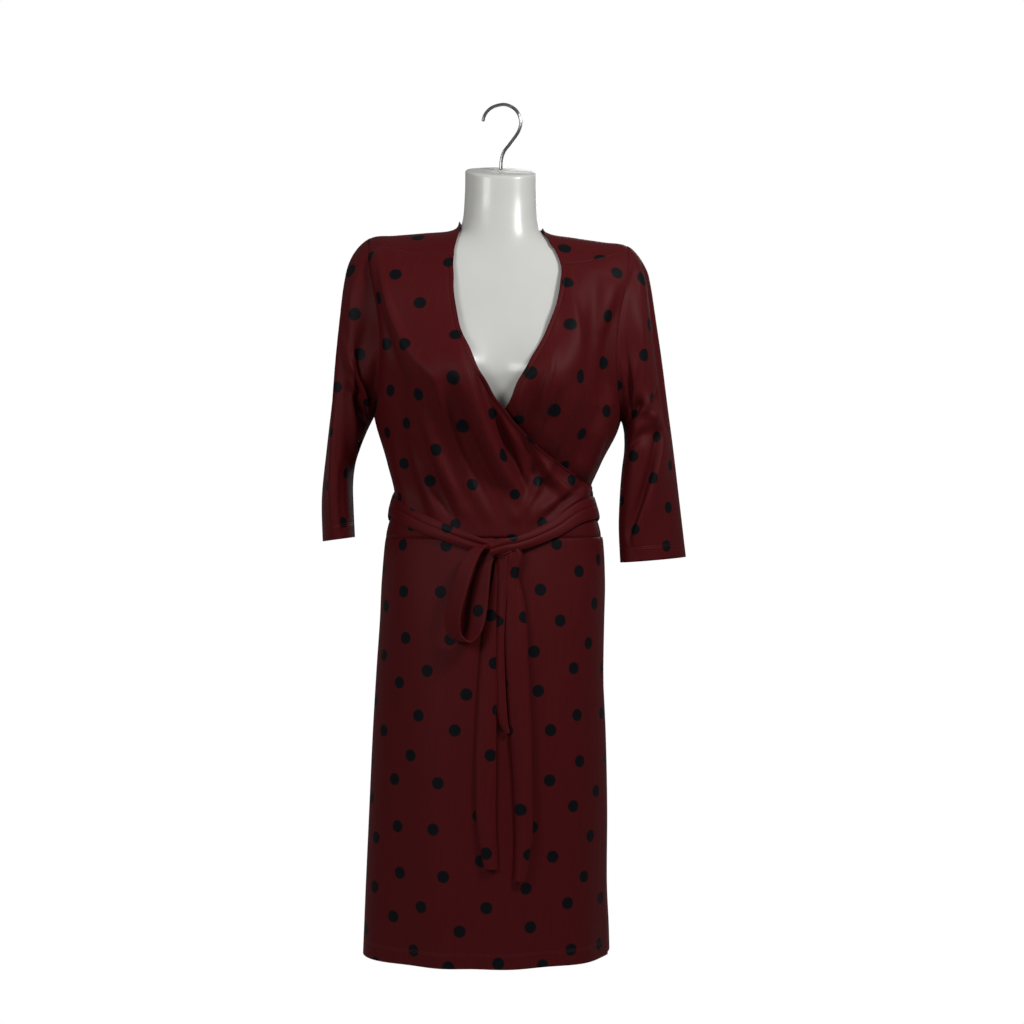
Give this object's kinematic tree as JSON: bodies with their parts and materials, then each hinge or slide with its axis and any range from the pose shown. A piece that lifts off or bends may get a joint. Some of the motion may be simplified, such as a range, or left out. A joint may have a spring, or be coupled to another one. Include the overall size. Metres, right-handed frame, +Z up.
{
  "type": "wrap dress on hanging torso form",
  "caption": "Knee-length wrap dress with a crossed neckline, three-quarter sleeves and a tied belt, on a limbless torso form that hangs from a wire hook.",
  "frame": {"origin": "under the crown of the hook, where the rail or peg that it hangs from touches it", "axes": "+Z up along the hanging dress, +X to the image's right, the front faces -Y"},
  "size_m": [0.5112, 0.298, 1.1807],
  "materials": {
    "form_plastic": "gloss",
    "hook_wire": "polished",
    "jersey": "soft jersey, a burgundy ground with near-black dots",
    "belt_jersey": "the dress's jersey, doubled and sewn as a flat tube"
  },
  "bodies": {
    "root": {"torso_form": "form_plastic", "hook": "hook_wire", "front_over": "jersey", "front_under": "jersey", "back": "jersey", "skirt_over": "jersey", "skirt_under": "jersey", "skirt_back": "jersey", "sleeve_right": "jersey", "sleeve_left": "jersey", "tie_over": "belt_jersey", "tie_under": "belt_jersey", "knot": "belt_jersey", "bow_loop": "belt_jersey", "tail_over": "belt_jersey", "tail_under": "belt_jersey"}
  },
  "joints": []
}
